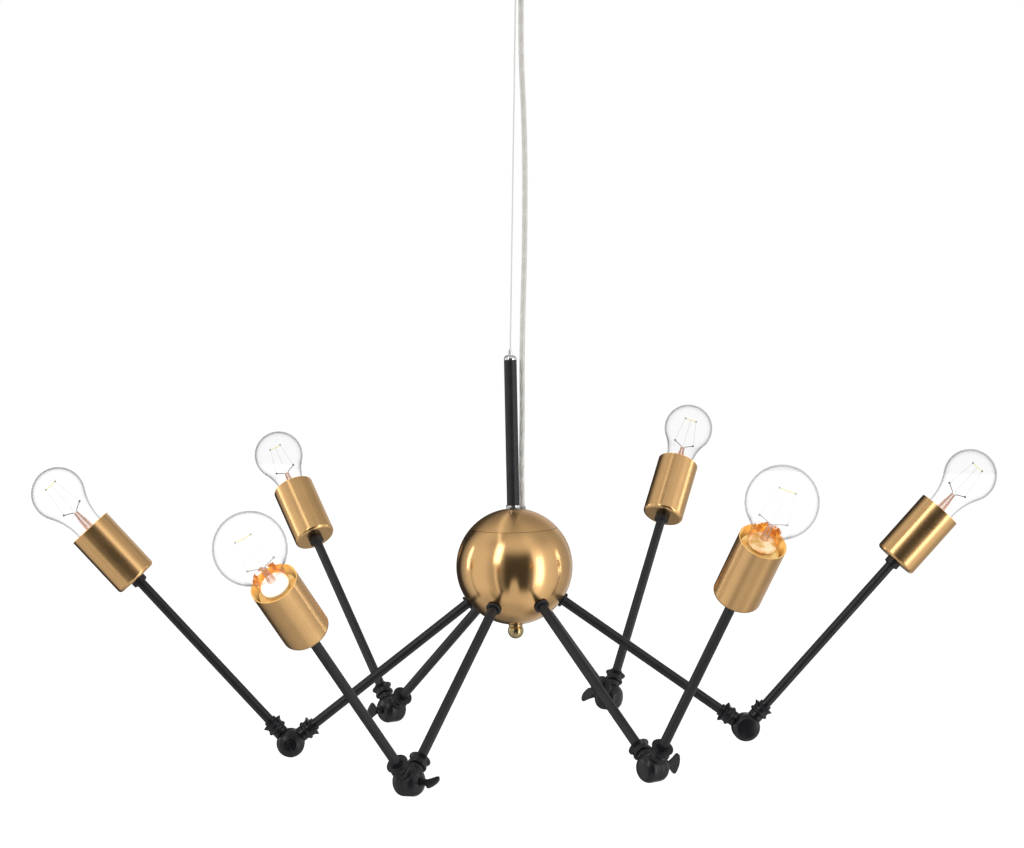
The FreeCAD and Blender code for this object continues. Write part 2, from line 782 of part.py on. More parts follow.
def bulb_outline(neck, sleeve, globe, middle):
    """Outline of the bulb's outer or inner wall: sleeve, straight neck, hollow flare and round globe."""
    shoulder = base_end + glass_neck_rise
    flare_foot = shoulder + glass_neck_length
    rise = middle - flare_foot
    flare = (rise ** 2 + neck ** 2 - globe ** 2) / (2 * (globe - neck))
    flare_middle = neck + flare
    swing = math.atan2(rise, flare_middle)
    touch = (flare_middle - flare * math.cos(swing), flare_foot + flare * math.sin(swing))
    bend = (flare_middle - flare * math.cos(swing / 2), flare_foot + flare * math.sin(swing / 2))
    halfway = (math.pi / 2 - swing) / 2
    crown = (globe * math.cos(halfway), middle + globe * math.sin(halfway))
    return [(sleeve, base_floor + seat), (sleeve, base_end + seat), (neck, shoulder), (neck, flare_foot),
            (bend, touch), (crown, (0, middle + globe))]


def bulb_glass(arm):
    globe = big_globe_radius if arm["big"] else globe_radius
    middle = bulb_foot + (big_globe_rise if arm["big"] else globe_rise)
    sleeve = base_radius - base_wall - seat
    outer = bulb_outline(glass_neck_radius, sleeve, globe, middle)
    outer_solid = turned(*outer, (0, outer[0][1]))
    inner = bulb_outline(glass_neck_radius - glass_wall, sleeve - glass_wall, globe - glass_wall, middle)
    inner_solid = turned(*inner, (0, inner[0][1]))
    return placed(outer_solid.cut(inner_solid), ALONG_X)


# ---------------------------------------------------------------- writing the pieces

def all_nodes():
    nodes = {
        "ceiling_canopy": ceiling_canopy(),
        "canopy_bracket": canopy_bracket(),
        "canopy_nipple": canopy_nipple(),
        "terminal_block": terminal_block(),
        "wire_gripper": wire_gripper(),
        "cord_gland": cord_gland(),
        "suspension_wire": suspension_wire(),
        "power_cord": power_cord(),
        "stem_cap": placed(stem_cap(), lamp),
        "stem_tube": placed(stem_tube(), lamp),
        "stem_fixings": placed(stem_fixings(), lamp),
        "tie_rod": placed(tie_rod(), lamp),
        "sphere_cap": placed(sphere_cap(), lamp),
        "sphere_bowl": placed(sphere_bowl(), lamp),
        "finial": placed(finial(), lamp),
        "lower_rods": each_arm(lower_rod, arm_place),
        "arm_lock_nuts": arm_lock_nuts(),
        "knuckle_inner_halves": each_arm(knuckle_inner, knuckle_place),
    }
    for number, arm in enumerate(arms, 1):
        upper = lamp.multiply(upper_place(arm))
        knuckle = lamp.multiply(knuckle_place(arm))
        nodes["knuckle_outer_%d" % number] = placed(knuckle_outer(), upper)
        nodes["upper_rod_%d" % number] = placed(upper_rod(), upper)
        nodes["socket_cup_%d" % number] = placed(socket_cup(), upper)
        nodes["lampholder_%d" % number] = placed(lampholder(), upper)
        nodes["bulb_base_%d" % number] = placed(bulb_base(), upper)
        nodes["bulb_glass_%d" % number] = placed(bulb_glass(arm), upper)
        nodes["thumb_screw_%d" % number] = placed(thumb_screw(arm), knuckle)
    return nodes


os.makedirs("parts", exist_ok=True)
for name, shape in all_nodes().items():
    if not shape.isValid():
        print("not valid:", name)
    shape.exportStep("parts/%s.step" % name)
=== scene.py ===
import json
import math

import bpy
from mathutils import Matrix, Vector


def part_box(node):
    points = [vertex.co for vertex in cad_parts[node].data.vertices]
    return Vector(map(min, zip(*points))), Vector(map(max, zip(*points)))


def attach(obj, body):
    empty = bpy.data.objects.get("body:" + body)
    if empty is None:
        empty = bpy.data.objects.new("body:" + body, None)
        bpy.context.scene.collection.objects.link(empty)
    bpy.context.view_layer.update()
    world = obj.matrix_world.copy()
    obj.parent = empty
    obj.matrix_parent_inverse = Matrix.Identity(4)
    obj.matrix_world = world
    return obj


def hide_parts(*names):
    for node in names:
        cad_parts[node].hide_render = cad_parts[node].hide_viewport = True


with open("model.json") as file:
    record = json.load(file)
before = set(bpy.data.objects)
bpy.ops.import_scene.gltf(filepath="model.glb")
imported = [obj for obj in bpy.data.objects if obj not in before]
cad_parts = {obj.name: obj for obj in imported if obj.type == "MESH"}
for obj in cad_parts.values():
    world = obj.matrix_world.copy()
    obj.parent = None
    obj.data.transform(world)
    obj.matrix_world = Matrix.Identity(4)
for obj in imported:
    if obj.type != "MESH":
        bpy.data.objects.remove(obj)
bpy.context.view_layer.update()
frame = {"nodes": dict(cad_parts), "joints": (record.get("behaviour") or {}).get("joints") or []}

# Looks of a sputnik chandelier: six jointed black arms on a brass ball, with brass cups and clear bulbs.
# Metres, +Z up, with the origin on the ceiling. The viewer stands on the -Y side.

NODES = frame["nodes"]
JOINTS = {joint["name"]: joint for joint in frame["joints"]}
ARMS = range(1, 7)
MM = 0.001

# ---- camera ----
CAMERA_PLACE = (-0.005757, -3.049385, -0.270726)
CAMERA_DOWN = 4.592            # degrees below level
CAMERA_YAW = 0.161             # degrees towards +X
CAMERA_ROLL = 0.839            # degrees, right side up
CAMERA_LENS = 104.73           # millimetres on a sensor 36 mm wide

# ---- cord and wire ----
CORD_DIAMETER = 5.5 * MM
CORD_POINTS = [
    (5.5, 14.17, -53.7),
    (5.7, 14.0, -98.0),
    (6.9, 13.5, -146.0),
    (10.2, 13.0, -196.0),
    (12.2, 12.3, -246.0),
    (12.9, 11.3, -300.0),
    (13.1, 10.8, -350.0),
    (12.3, 10.1, -402.0),
    (12.2, 9.4, -456.0),
    (13.4, 8.7, -508.0),
    (13.0, 7.8, -560.0),
    (14.99, 6.71, -609.69),
]
CORD_STEP = 1.6 * MM
CORE_RADIUS = 1.15 * MM        # one of the two cores inside the clear sheath
CORE_OFFSET = 1.04 * CORE_RADIUS
CORE_PITCH = 42.0 * MM
WIRE_DIAMETER = 1.5 * MM
WIRE_TOP = -28.0 * MM
WIRE_STEP = 1.2 * MM
WIRE_PITCH = 11.0 * MM
WIRE_STRANDS = 6
STRAND_SWELL = 1.04            # the strands press into each other this much, and the core strand sinks in
STRAND_SINK = 0.2
FERRULE_RADIUS = 2.0 * MM
FERRULE_LENGTH = 6.0 * MM
FERRULE_EDGE = 0.4 * MM
CRIMP_HALF = 0.6 * MM
CRIMP_DEPTH = 0.14 * MM

# ---- lamp ----
LEAN = 2.0                     # degrees that the lamp hangs out of plumb, its foot towards +X

# ---- bulb, measured from its foot along its axis ----
GLOBE_MIDDLE = 77.2 * MM
FRONT_GLOBE_MIDDLE = 79.0 * MM
# The glass stem, pinched round the leads near its top: radius and height in millimetres.
STEM_PROFILE = [(5.29, 20.0), (4.6, 26.0), (3.68, 41.0), (2.6, 47.0), (2.6, 50.0), (1.43, 51.2)]
LEAD_APART = 1.5 * MM          # of each lead from the axis, where it leaves the stem
LEAD_FLARE = 1.6               # and this many times as much below and just above
LEAD_BEND = 2.5 * MM           # rise of the leads above the stem, before they spread
LEAD_RADIUS = 0.45 * MM
SPREAD = 11.0 * MM             # from the axis to the end of each lead
SPREAD_HEIGHT = 57.0 * MM
BAR_ABOVE_MIDDLE = 11.5 * MM   # the filament's top, beyond the middle of the globe
BAR_HALF = 6.4 * MM
BAR_SAG = 0.6 * MM
COIL_RADIUS = 0.5 * MM         # of the filament's coil
FILAMENT_RADIUS = 0.25 * MM    # of the wire that it is wound from
COIL_PITCH = 1.1 * MM
COIL_STEP = 0.25 * MM
BEAD_RADIUS = 1.2 * MM
BEAD_STEPS = 7
HOOK_RADIUS = 0.96 * MM
SUPPORT_SHARE = 0.2            # thickness of the fine supports, as a share of the leads'
SUPPORT_ROOT = 1.0 * MM        # depth of the middle support in the stem
FRONT_BULBS = (5, 6)           # the two larger ones, whose cups open towards the viewer
FRONT_SCALE = 1.23
CUP_BORE = 22.1 * MM           # radius
CUP_MOUTH = 30.05 * MM
RIM_MARGIN = 0.3 * MM
CUP_LIT = (8.0 * MM, 26.0 * MM)        # where lamplight fades in on the cup's inside, and on the lampholder
HOLDER_LIT = (8.0 * MM, 22.0 * MM)
# The glass mount that closes the neck, and the shell of lamplight just inside the neck: radius and height in
# millimetres.
MOUNT_PROFILE = [
    (13.5, 26.8), (13.6, 28.3), (13.1, 30.0), (11.5, 31.6), (8.6, 32.9), (5.2, 33.6), (3.2, 33.8),
]
MOUNT_DROP = 4.2 * MM          # lower in the small bulbs, out of sight behind the cup's rim
GLOW_PROFILE = [(13.9, 28.5), (13.9, 31.5), (14.0, 35.0), (14.5, 38.5), (15.3, 42.0)]


# ---------------------------------------------------------------- helpers

def metres(profile):
    """An outline given in millimetres, in metres."""
    return [(radius * MM, height * MM) for radius, height in profile]


def collection_add(obj):
    bpy.context.scene.collection.objects.link(obj)
    return obj


def mesh_piece(name, points, faces):
    mesh = bpy.data.meshes.new(name)
    mesh.from_pydata([tuple(point) for point in points], [], faces)
    for polygon in mesh.polygons:
        polygon.use_smooth = True
    return collection_add(bpy.data.objects.new(name, mesh))


def rings_to_faces(rings, sides):
    """Faces of a closed form made of rings of points, one after another."""
    faces = []
    for k in range(rings - 1):
        for s in range(sides):
            t = (s + 1) % sides
            faces.append((k * sides + s, k * sides + t, (k + 1) * sides + t, (k + 1) * sides + s))
    faces.append(tuple(reversed(range(sides))))
    faces.append(tuple(range((rings - 1) * sides, rings * sides)))
    return faces


def frames_along(path):
    """A steady pair of side vectors for each point of a path."""
    side = None
    result = []
    for k, point in enumerate(path):
        ahead = path[min(k + 1, len(path) - 1)] - path[max(k - 1, 0)]
        ahead.normalize()
        if side is None:
            side = ahead.orthogonal().normalized()
        side = (side - ahead * side.dot(ahead)).normalized()
        result.append((point, side, ahead.cross(side)))
    return result


def tube_mesh(path, radius, sides=8):
    """Points and faces of a tube along a path."""
    points = []
    for point, side, up in frames_along(path):
        for s in range(sides):
            angle = 2 * math.pi * s / sides
            points.append(point + side * (radius * math.cos(angle)) + up * (radius * math.sin(angle)))
    return points, rings_to_faces(len(path), sides)


def joined(name, parts):
    """One piece made of several meshes, each given as points and faces."""
    points = []
    faces = []
    for part_points, part_faces in parts:
        offset = len(points)
        points += part_points
        faces += [tuple(index + offset for index in face) for face in part_faces]
    return mesh_piece(name, points, faces)


def lathe(profile, place, sides=48):
    """Points and faces of a turned form: profile in (radius, height) along the X axis of a place."""
    points = []
    for radius, height in profile:
        for s in range(sides):
            angle = 2 * math.pi * s / sides
            points.append(place @ Vector((height, radius * math.cos(angle), radius * math.sin(angle))))
    return points, rings_to_faces(len(profile), sides)


def far_half(form, place):
    """The open shell of a turned form that lies on the far side of its axis."""
    points, faces = form
    kept = []
    for face in faces:
        off = sum((points[index] for index in face), Vector()) / len(face) - place.translation
        if len(face) == 4 and off.y > place.col[0].y * off.length:
            kept.append(face)
    used = sorted({index for face in kept for index in face})
    fresh = {index: rank for rank, index in enumerate(used)}
    return [points[index] for index in used], [tuple(fresh[index] for index in face) for face in kept]


def spline_curve(name, points, radius):
    """A smooth cord: a NURBS spline with these points as its control points."""
    curve = bpy.data.curves.new(name, "CURVE")
    curve.dimensions = "3D"
    curve.bevel_depth = radius
    curve.bevel_resolution = 5
    curve.resolution_u = 12
    curve.use_fill_caps = True
    spline = curve.splines.new("NURBS")
    spline.points.add(len(points) - 1)
    for knot, point in zip(spline.points, points):
        knot.co = (*point, 1.0)
    spline.order_u = 3
    spline.use_endpoint_u = True
    return collection_add(bpy.data.objects.new(name, curve))


def read_line(obj):
    """Points along a curve's own line."""
    bevel = obj.data.bevel_depth
    obj.data.bevel_depth = 0.0
    obj.data.use_fill_caps = False
    graph = bpy.context.evaluated_depsgraph_get()
    graph.update()
    mesh = bpy.data.meshes.new_from_object(obj.evaluated_get(graph))
    line = [vertex.co.copy() for vertex in mesh.vertices]
    bpy.data.meshes.remove(mesh)
    obj.data.bevel_depth = bevel
    obj.data.use_fill_caps = True
    return line


def resampled(line, step):
    """Points a steady step apart along a line."""
    result = [line[0]]
    carried = 0.0
    for start, end in zip(line, line[1:]):
        length = (end - start).length
        place = step - carried
        while place < length:
            result.append(start.lerp(end, place / length))
            place += step
        carried = length - (place - step)
    result.append(line[-1])
    return result


def helix_path(line, offset, pitch, phase):
    """A strand that winds round a line."""
    result = []
    run = 0.0
    last = line[0]
    for point, side, up in frames_along(line):
        run += (point - last).length
        last = point
        angle = phase + 2 * math.pi * run / pitch
        result.append(point + side * (offset * math.cos(angle)) + up * (offset * math.sin(angle)))
    return result


def arm_axis(number):
    """Direction of an arm's upper rod, from its knuckle to its bulb."""
    return Vector(JOINTS["bulb_turn_%d" % number]["axis"]).normalized()


def bulb_place(number):
    """Place of a bulb: its foot, X along its axis, Y in the plane that its filament spreads in."""
    joint = JOINTS["bulb_turn_%d" % number]
    along = arm_axis(number)
    spread = along.cross(Vector((0.0, 1.0, 0.0))).normalized()
    place = Matrix((along, spread, along.cross(spread))).transposed().to_4x4()
    place.translation = Vector(joint["pos_m"])
    return place


# ---------------------------------------------------------------- materials

class Nodes:
    """A small helper that adds and links the nodes of one material or world."""

    def __init__(self, tree):
        self.tree = tree
        tree.nodes.clear()

    def add(self, kind, settings=None, **inputs):
        node = self.tree.nodes.new(kind)
        for key, value in (settings or {}).items():
            setattr(node, key, value)
        for key, value in inputs.items():
            socket = node.inputs[key.replace("_", " ")]
            self.put(socket, value)
        return node

    def put(self, socket, value):
        if isinstance(value, bpy.types.NodeSocket):
            self.tree.links.new(value, socket)
        else:
            socket.default_value = value

    def math(self, operation, first, second=0.0, clamp=False):
        node = self.add("ShaderNodeMath", {"operation": operation, "use_clamp": clamp})
        self.put(node.inputs[0], first)
        self.put(node.inputs[1], second)
        return node.outputs[0]

    def ramp(self, value, stops):
        node = self.add("ShaderNodeValToRGB")
        elements = node.color_ramp.elements
        while len(elements) < len(stops):
            elements.new(0.5)
        for element, (position, colour) in zip(elements, stops):
            element.position = position
            level = colour if isinstance(colour, tuple) else (colour, colour, colour)
            element.color = (*level, 1.0)
        self.put(node.inputs["Fac"], value)
        return node.outputs["Color"]

    def minus(self, spot, middle):
        node = self.add("ShaderNodeVectorMath", {"operation": "SUBTRACT"})
        self.put(node.inputs[0], spot)
        self.put(node.inputs[1], tuple(middle))
        return node.outputs[0]

    def dot(self, spot, way):
        node = self.add("ShaderNodeVectorMath", {"operation": "DOT_PRODUCT"})
        self.put(node.inputs[0], spot)
        self.put(node.inputs[1], tuple(way))
        return node.outputs["Value"]

    def share_of(self, value, low, high):
        """0 at the low end of a range and 1 at its high end."""
        node = self.add("ShaderNodeMapRange", {"clamp": True}, From_Min=low, From_Max=high, Value=value)
        return node.outputs[0]

    def mix_colour(self, share, first, second):
        node = self.add("ShaderNodeMix", {"data_type": "RGBA"})
        self.put(node.inputs[0], share)
        self.put(node.inputs[6], first)
        self.put(node.inputs[7], second)
        return node.outputs[2]

    def mix_shader(self, share, first, second):
        node = self.add("ShaderNodeMixShader", Fac=share)
        self.put(node.inputs[1], first.outputs[0])
        self.put(node.inputs[2], second.outputs[0])
        return node


def material(name):
    made = bpy.data.materials.new(name)
    made.use_nodes = True
    return made, Nodes(made.node_tree)


def finish_material(nodes, surface):
    nodes.add("ShaderNodeOutputMaterial", Surface=surface)


def catch_lamplight(nodes, shader, spot, lamplight):
    """Amber light that a lit bulb throws on what surrounds its neck, inside the cup."""
    if not lamplight:
        return
    place, low, high, strength = lamplight
    off = nodes.minus(spot, place.translation)
    along = nodes.dot(off, place.col[0].xyz)
    whole = nodes.add("ShaderNodeVectorMath", {"operation": "LENGTH"})
    nodes.put(whole.inputs[0], off)
    square = nodes.math("SUBTRACT", nodes.math("POWER", whole.outputs["Value"], 2.0),
                        nodes.math("POWER", along, 2.0))
    in_bore = nodes.math("LESS_THAN", nodes.math("SQRT", square), CUP_BORE + RIM_MARGIN)
    on_rim = nodes.math("GREATER_THAN", along, CUP_MOUTH - RIM_MARGIN)
    inside = nodes.math("MAXIMUM", in_bore, on_rim)
    rise = nodes.share_of(along, low, high)
    flecks = nodes.add("ShaderNodeTexNoise", Scale=90.0, Detail=2.0, Vector=spot)
    tint = nodes.ramp(flecks.outputs["Fac"], [(0.35, (1.00, 0.66, 0.24)), (0.60, (0.86, 0.42, 0.09))])
    amount = nodes.math("MULTIPLY", nodes.math("MULTIPLY", inside, rise), strength)
    nodes.put(shader.inputs["Emission Color"], tint)
    nodes.put(shader.inputs["Emission Strength"], amount)


def brass(name, axis, roughness=0.24, stretch=0.75, colour=(0.82, 0.50, 0.22), lamplight=None):
    """Lathe-brushed brass: fine rings round an axis, which draw the highlights out along it."""
    made, nodes = material(name)
    place = nodes.add("ShaderNodeTexCoord").outputs["Object"]
    rings = nodes.add("ShaderNodeTexNoise", {"noise_dimensions": "1D"}, Scale=5200.0, Detail=4.0,
                      Roughness=0.7, W=nodes.dot(place, axis))
    wear = nodes.add("ShaderNodeTexNoise", Scale=42.0, Detail=4.0, Vector=place)
    tint = nodes.ramp(wear.outputs["Fac"], [(0.30, tuple(c * 0.93 for c in colour)), (0.70, colour)])
    dull = nodes.math("MULTIPLY", nodes.math("SUBTRACT", wear.outputs["Fac"], 0.5), 0.10)
    rough = nodes.math("ADD", dull, roughness)
    bump = nodes.add("ShaderNodeBump", Strength=0.02, Distance=0.00002, Height=rings.outputs["Fac"])
    tangent = nodes.add("ShaderNodeCombineXYZ", X=axis[0], Y=axis[1], Z=axis[2])
    shader = nodes.add("ShaderNodeBsdfPrincipled", Base_Color=tint, Metallic=1.0, Roughness=rough,
                       Anisotropic=stretch, Normal=bump.outputs["Normal"], Tangent=tangent.outputs[0])
    catch_lamplight(nodes, shader, place, lamplight)
    finish_material(nodes, shader.outputs[0])
    return made


def powder_coat(name, colour=(0.012, 0.012, 0.014), grain=2600.0, roughness=0.40):
    """Satin black powder coat, with its fine grain and a little dust-dull wear."""
    made, nodes = material(name)
    place = nodes.add("ShaderNodeTexCoord").outputs["Object"]
    grain_node = nodes.add("ShaderNodeTexNoise", Scale=grain, Detail=2.0, Roughness=0.6, Vector=place)
    patch = nodes.add("ShaderNodeTexNoise", Scale=60.0, Detail=3.0, Vector=place)
    tint = nodes.ramp(patch.outputs["Fac"], [(0.35, colour), (0.75, tuple(c * 1.45 for c in colour))])
    rough = nodes.math("ADD", nodes.math("MULTIPLY", patch.outputs["Fac"], 0.12), roughness - 0.06)
    bump = nodes.add("ShaderNodeBump", Strength=0.22, Distance=0.00006, Height=grain_node.outputs["Fac"])
    shader = nodes.add("ShaderNodeBsdfPrincipled", Base_Color=tint, Roughness=rough,
                       Normal=bump.outputs["Normal"], Specular_IOR_Level=0.38)
    finish_material(nodes, shader.outputs[0])
    return made


def metal(name, colour, roughness):
    """Plated or drawn metal, with a faint cloudiness in its polish."""
    made, nodes = material(name)
    place = nodes.add("ShaderNodeTexCoord").outputs["Object"]
    marks = nodes.add("ShaderNodeTexNoise", Scale=900.0, Detail=3.0, Vector=place)
    rough = nodes.math("ADD", nodes.math("MULTIPLY", marks.outputs["Fac"], 0.10), roughness - 0.05)
    tint = nodes.ramp(marks.outputs["Fac"], [(0.3, tuple(c * 0.94 for c in colour)), (0.7, colour)])
    bump = nodes.add("ShaderNodeBump", Strength=0.08, Distance=0.00002, Height=marks.outputs["Fac"])
    shader = nodes.add("ShaderNodeBsdfPrincipled", Base_Color=tint, Metallic=1.0, Roughness=rough,
                       Normal=bump.outputs["Normal"])
    finish_material(nodes, shader.outputs[0])
    return made


def plastic(name, colour, roughness, lamplight=None):
    """Moulded plastic or coated wire, with a fine grain."""
    made, nodes = material(name)
    place = nodes.add("ShaderNodeTexCoord").outputs["Object"]
    marks = nodes.add("ShaderNodeTexNoise", Scale=1800.0, Detail=2.0, Vector=place)
    tint = nodes.ramp(marks.outputs["Fac"], [(0.3, tuple(c * 0.92 for c in colour)), (0.7, colour)])
    bump = nodes.add("ShaderNodeBump", Strength=0.12, Distance=0.00003, Height=marks.outputs["Fac"])
    shader = nodes.add("ShaderNodeBsdfPrincipled", Base_Color=tint, Roughness=roughness,
                       Normal=bump.outputs["Normal"])
    catch_lamplight(nodes, shader, place, lamplight)
    finish_material(nodes, shader.outputs[0])
    return made


def clear(name, edge, steepness, body=0.0, edge_roughness=0.06):
    """Clear glass or plastic: see-through face on, grey and glossy where it turns away."""
    made, nodes = material(name)
    place = nodes.add("ShaderNodeTexCoord").outputs["Object"]
    waves = nodes.add("ShaderNodeTexNoise", Scale=60.0, Detail=1.0, Vector=place)
    bump = nodes.add("ShaderNodeBump", Strength=0.05, Distance=0.0003, Height=waves.outputs["Fac"])
    facing = nodes.add("ShaderNodeLayerWeight", Blend=0.5).outputs["Facing"]
    rim = nodes.math("POWER", facing, steepness)
    rim = nodes.math("ADD", nodes.math("MULTIPLY", rim, 1.0 - body), body, clamp=True)
    open_glass = nodes.add("ShaderNodeBsdfTransparent", Color=(1.0, 1.0, 1.0, 1.0))
    solid = nodes.add("ShaderNodeBsdfPrincipled", Base_Color=(*edge, 1.0), Roughness=edge_roughness,
                      Normal=bump.outputs["Normal"])
    finish_material(nodes, nodes.mix_shader(rim, open_glass, solid).outputs[0])
    return made


def amber_glow(name, place, low, high):
    """Lamplight caught in the neck of a bulb: amber at the cup's mouth, breaking up and fading above it."""
    made, nodes = material(name)
    spot = nodes.add("ShaderNodeTexCoord").outputs["Object"]
    rise = nodes.share_of(nodes.dot(nodes.minus(spot, place.translation), place.col[0].xyz), low, high)
    flecks = nodes.add("ShaderNodeTexNoise", Scale=150.0, Detail=3.0, Roughness=0.6, Vector=spot)
    tint = nodes.ramp(flecks.outputs["Fac"], [(0.36, (0.88, 0.50, 0.08)), (0.48, (0.74, 0.27, 0.02)),
                                              (0.60, (0.42, 0.12, 0.01))])
    edge = nodes.math("SUBTRACT", nodes.math("MULTIPLY", flecks.outputs["Fac"], 3.2),
                      nodes.math("MULTIPLY", rise, 1.3))
    cover = nodes.math("MULTIPLY", nodes.math("SUBTRACT", edge, 0.40, clamp=True), 4.5, clamp=True)
    open_air = nodes.add("ShaderNodeBsdfTransparent")
    glow = nodes.add("ShaderNodeBsdfPrincipled", Base_Color=tint, Roughness=0.35, Emission_Color=tint,
                     Emission_Strength=0.40)
    finish_material(nodes, nodes.mix_shader(cover, open_air, glow).outputs[0])
    return made


def glowing(name, colour, strength, shade=None, scale=700.0):
    """A surface bright with lamplight, mottled between its colour and a darker shade."""
    made, nodes = material(name)
    place = nodes.add("ShaderNodeTexCoord").outputs["Object"]
    marks = nodes.add("ShaderNodeTexNoise", Scale=scale, Vector=place)
    tint = nodes.ramp(marks.outputs["Fac"], [(0.38, shade or tuple(c * 0.9 for c in colour)), (0.62, colour)])
    shader = nodes.add("ShaderNodeBsdfPrincipled", Base_Color=tint, Roughness=0.4, Emission_Color=tint,
                       Emission_Strength=strength)
    finish_material(nodes, shader.outputs[0])
    return made


def dress(node, made):
    """Gives a carried-over node its finish."""
    mesh = NODES[node].data
    mesh.materials.clear()
    mesh.materials.append(made)


# ---------------------------------------------------------------- camera

def make_camera():
    data = bpy.data.cameras.new("photo_camera")
    data.lens = CAMERA_LENS
    data.sensor_width = 36.0
    data.clip_end = 50.0
    camera = collection_add(bpy.data.objects.new("photo_camera", data))
    turn = (Matrix.Rotation(-math.radians(CAMERA_YAW), 4, "Z")
            @ Matrix.Rotation(math.radians(90.0 - CAMERA_DOWN), 4, "X")
            @ Matrix.Rotation(math.radians(CAMERA_ROLL), 4, "Z"))
    camera.matrix_world = Matrix.Translation(CAMERA_PLACE) @ turn
    bpy.context.scene.camera = camera


make_camera()


# ---------------------------------------------------------------- cord and wire

def make_power_cord():
    points = [Vector(point) * MM for point in CORD_POINTS]
    sheath = spline_curve("cord_sheath", points, CORD_DIAMETER / 2)
    line = resampled(read_line(sheath), CORD_STEP)
    cores = []
    for phase in (0.0, math.pi):
        cores.append(tube_mesh(helix_path(line, CORE_OFFSET, CORE_PITCH, phase), CORE_RADIUS, 10))
    core_piece = joined("cord_cores", cores)
    sheath.data.materials.append(clear("cord_sheath_clear", (0.84, 0.83, 0.79), 1.3, body=0.40,
                                       edge_roughness=0.25))
    core_piece.data.materials.append(plastic("cord_core_grey", (0.88, 0.86, 0.79), 0.4))
    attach(sheath, "root")
    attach(core_piece, "root")
    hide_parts("power_cord")


def make_wire():
    """Fine wire rope: strands laid round a core, with the ferrule crimped on its lower end."""
    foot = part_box("suspension_wire")[0].z
    line = [Vector((0.0, 0.0, WIRE_TOP)), Vector((0.0, 0.0, foot + FERRULE_LENGTH / 2))]
    line = resampled(line, WIRE_STEP)
    strand = WIRE_DIAMETER / 2 / (1 + 1 / math.sin(math.pi / WIRE_STRANDS))
    offset = WIRE_DIAMETER / 2 - strand
    parts = [tube_mesh(line, offset - strand * STRAND_SINK, 6)]
    for k in range(WIRE_STRANDS):
        path = helix_path(line, offset, WIRE_PITCH, 2 * math.pi * k / WIRE_STRANDS)
        parts.append(tube_mesh(path, strand * STRAND_SWELL, 6))
    wire = joined("wire_rope", parts)
    low = Matrix.Translation((0, 0, foot)) @ Matrix.Rotation(-math.pi / 2, 4, "Y")
    waist = FERRULE_LENGTH / 2
    outline = [(FERRULE_RADIUS - FERRULE_EDGE, 0), (FERRULE_RADIUS, FERRULE_EDGE),
               (FERRULE_RADIUS, waist - CRIMP_HALF), (FERRULE_RADIUS - CRIMP_DEPTH, waist),
               (FERRULE_RADIUS, waist + CRIMP_HALF), (FERRULE_RADIUS, FERRULE_LENGTH - FERRULE_EDGE),
               (FERRULE_RADIUS - FERRULE_EDGE, FERRULE_LENGTH)]
    ferrule = joined("wire_ferrule", [lathe(outline, low, 24)])
    wire.data.materials.append(plastic("wire_coated_steel", (0.86, 0.86, 0.84), 0.35))
    ferrule.data.materials.append(metal("ferrule_copper", (0.70, 0.45, 0.32), 0.35))
    for piece in (wire, ferrule):
        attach(piece, "root")
        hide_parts("suspension_wire")


make_power_cord()
make_wire()


# ---------------------------------------------------------------- finishes of the carried-over nodes

def lamp_axis():
    """Direction of the lamp's stem."""
    return Vector((-math.sin(math.radians(LEAN)), 0.0, math.cos(math.radians(LEAN))))


def dress_nodes():
    black = powder_coat("black_powder_coat")
    black_small = powder_coat("black_cast_coat", colour=(0.007, 0.007, 0.009), grain=1700.0, roughness=0.30)
    chrome = metal("chrome_plate", (0.80, 0.80, 0.81), 0.08)
    zinc = metal("zinc_plate", (0.60, 0.60, 0.58), 0.34)
    base = metal("base_nickel", (0.72, 0.70, 0.66), 0.28)
    block = plastic("block_white", (0.78, 0.77, 0.72), 0.5)
    ball = brass("ball_brass", lamp_axis(), roughness=0.18, stretch=0.60)
    cap = brass("ball_cap_brass", lamp_axis(), roughness=0.32, stretch=0.70)
    small = brass("finial_brass", lamp_axis(), roughness=0.24, stretch=0.2, colour=(0.50, 0.38, 0.19))
    gland = clear("gland_clear", (0.50, 0.50, 0.49), 1.2, body=0.55, edge_roughness=0.2)
    glass = clear("bulb_clear", (0.045, 0.05, 0.06), 5.6, body=0.012)
    front_glass = clear("bulb_clear_front", (0.10, 0.105, 0.115), 7.5, body=0.012)
    for node in ("stem_tube", "lower_rods", "arm_lock_nuts"):
        dress(node, black)
    dress("knuckle_inner_halves", black_small)
    dress("ceiling_canopy", powder_coat("canopy_coat"))
    for node in ("stem_cap", "stem_fixings", "wire_gripper"):
        dress(node, chrome)
    for node in ("canopy_bracket", "canopy_nipple", "tie_rod"):
        dress(node, zinc)
    dress("terminal_block", block)
    dress("cord_gland", gland)
    dress("sphere_cap", cap)
    dress("sphere_bowl", ball)
    dress("finial", small)
    for number in ARMS:
        dress("knuckle_outer_%d" % number, black_small)
        dress("thumb_screw_%d" % number, black_small)
        dress("upper_rod_%d" % number, black)
        place = bulb_place(number)
        dress("lampholder_%d" % number, plastic("holder_black_%d" % number, (0.030, 0.028, 0.027), 0.45,
                                                lamplight=(place, *HOLDER_LIT, 0.85)))
        dress("bulb_base_%d" % number, base)
        dress("bulb_glass_%d" % number, front_glass if number in FRONT_BULBS else glass)
        dress("socket_cup_%d" % number, brass("cup_brass_%d" % number, arm_axis(number),
                                               lamplight=(place, *CUP_LIT, 0.65)))


dress_nodes()


# ---------------------------------------------------------------- inside the bulbs

def ball_profile(radius):
    """Outline of a small bead, from pole to pole."""
    steps = [math.pi * (k / BEAD_STEPS - 0.5) for k in range(BEAD_STEPS + 1)]
    return [(max(radius * math.cos(step), radius * 0.02), radius * math.sin(step)) for step in steps]


